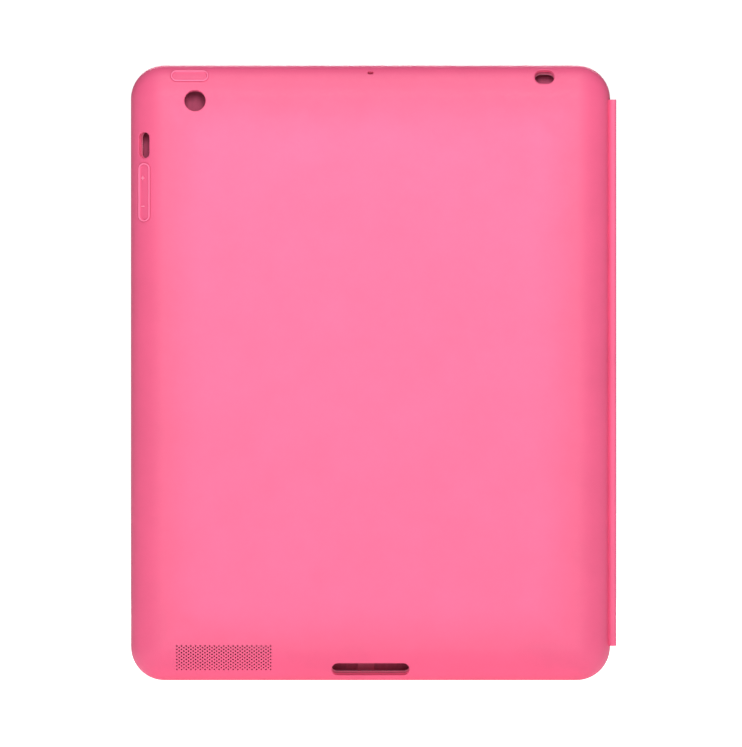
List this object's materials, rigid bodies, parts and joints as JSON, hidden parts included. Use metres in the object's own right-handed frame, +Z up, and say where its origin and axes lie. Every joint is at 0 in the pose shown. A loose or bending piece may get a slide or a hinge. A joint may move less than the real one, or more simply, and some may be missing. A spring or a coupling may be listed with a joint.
{
  "type": "tablet case",
  "caption": "Folio case for a 9.7 inch tablet: moulded back shell with button pads, port openings and a speaker grille, and a folding panel cover on a spine strip.",
  "frame": {"origin": "middle of the flat rim of the bottom edge, on which the case stands upright", "axes": "+X towards the spine strip, to the right seen from behind; +Y from the back shell towards the cover; +Z up along the case"},
  "size_m": [0.1944, 0.0154, 0.2464],
  "materials": {
    "soft_skin": "soft-touch polyurethane, very fine matte grain, pink",
    "rigid_core": "moulded polycarbonate, matte dark pink",
    "microfibre": "brushed microfibre, pink",
    "card": "stiff fibre board, dark grey",
    "magnet": "nickel-plated magnet",
    "steel": "thin cold-rolled strip"
  },
  "bodies": {
    "shell": {"back_shell": "soft_skin", "core_shell": "rigid_core", "back_lining": "microfibre", "hinge_flange": "soft_skin", "spine_web": "soft_skin", "sleep_membrane": "soft_skin", "volume_membrane": "soft_skin"},
    "sleep_pad": {"sleep_button": "soft_skin"},
    "volume_pad": {"volume_rocker": "soft_skin"},
    "spine": {"spine_skin": "soft_skin", "spine_stiffener": "card", "spine_lining": "microfibre", "cover_web": "soft_skin"},
    "panel_1": {"panel_1_skin": "soft_skin", "panel_1_board": "card", "panel_1_lining": "microfibre", "keeper_strip": "steel", "fold_web_1": "soft_skin"},
    "panel_2": {"panel_2_skin": "soft_skin", "panel_2_board": "card", "panel_2_lining": "microfibre", "fold_web_2": "soft_skin"},
    "panel_3": {"panel_3_skin": "soft_skin", "panel_3_board": "card", "panel_3_lining": "microfibre", "fold_web_3": "soft_skin"},
    "panel_4": {"panel_4_skin": "soft_skin", "panel_4_board": "card", "panel_4_lining": "microfibre", "closure_magnets": "magnet", "stand_magnets": "magnet", "wake_magnet": "magnet"}
  },
  "joints": [
    {"name": "spine_hinge", "type": "hinge", "parent": "shell", "child": "spine", "pos_m": [0.09855, -0.0045, 0.1232], "axis": [0, 0, -1], "range_deg": [0, 175], "deforming": ["spine_web"]},
    {"name": "cover_hinge", "type": "hinge", "parent": "spine", "child": "panel_1", "pos_m": [0.09765, 0.0021, 0.1232], "axis": [0, 0, -1], "range_deg": [0, 175], "deforming": ["cover_web"]},
    {"name": "fold_1", "type": "hinge", "parent": "panel_1", "child": "panel_2", "pos_m": [0.04805, 0.0021, 0.1232], "axis": [0, 0, -1], "range_deg": [-109.38, 0], "deforming": ["fold_web_1"]},
    {"name": "fold_2", "type": "hinge", "parent": "panel_2", "child": "panel_3", "pos_m": [-0.00175, 0.0021, 0.1232], "axis": [0, 0, -1], "range_deg": [-109.38, 0], "deforming": ["fold_web_2"]},
    {"name": "fold_3", "type": "hinge", "parent": "panel_3", "child": "panel_4", "pos_m": [-0.04855, 0.0021, 0.1232], "axis": [0, 0, -1], "range_deg": [-131.25, 0], "deforming": ["fold_web_3"]},
    {"name": "sleep_press", "type": "slide", "parent": "shell", "child": "sleep_pad", "axis": [0, 0.866, -0.5], "range_m": [0, 0.0005], "stiffness_N_per_m": 400, "deforming": ["sleep_membrane"]},
    {"name": "volume_rock", "type": "hinge", "parent": "shell", "child": "volume_pad", "pos_m": [-0.09005, -0.00876, 0.1954], "axis": [0.866, -0.5, 0], "range_deg": [-2, 2], "stiffness_Nm_per_rad": 0.05, "deforming": ["volume_membrane"]}
  ],
  "couplings": [
    {"joint": "fold_1", "follows": "cover_hinge", "ratio": -0.625},
    {"joint": "fold_2", "follows": "cover_hinge", "ratio": -0.625},
    {"joint": "fold_3", "follows": "cover_hinge", "ratio": -0.75}
  ]
}
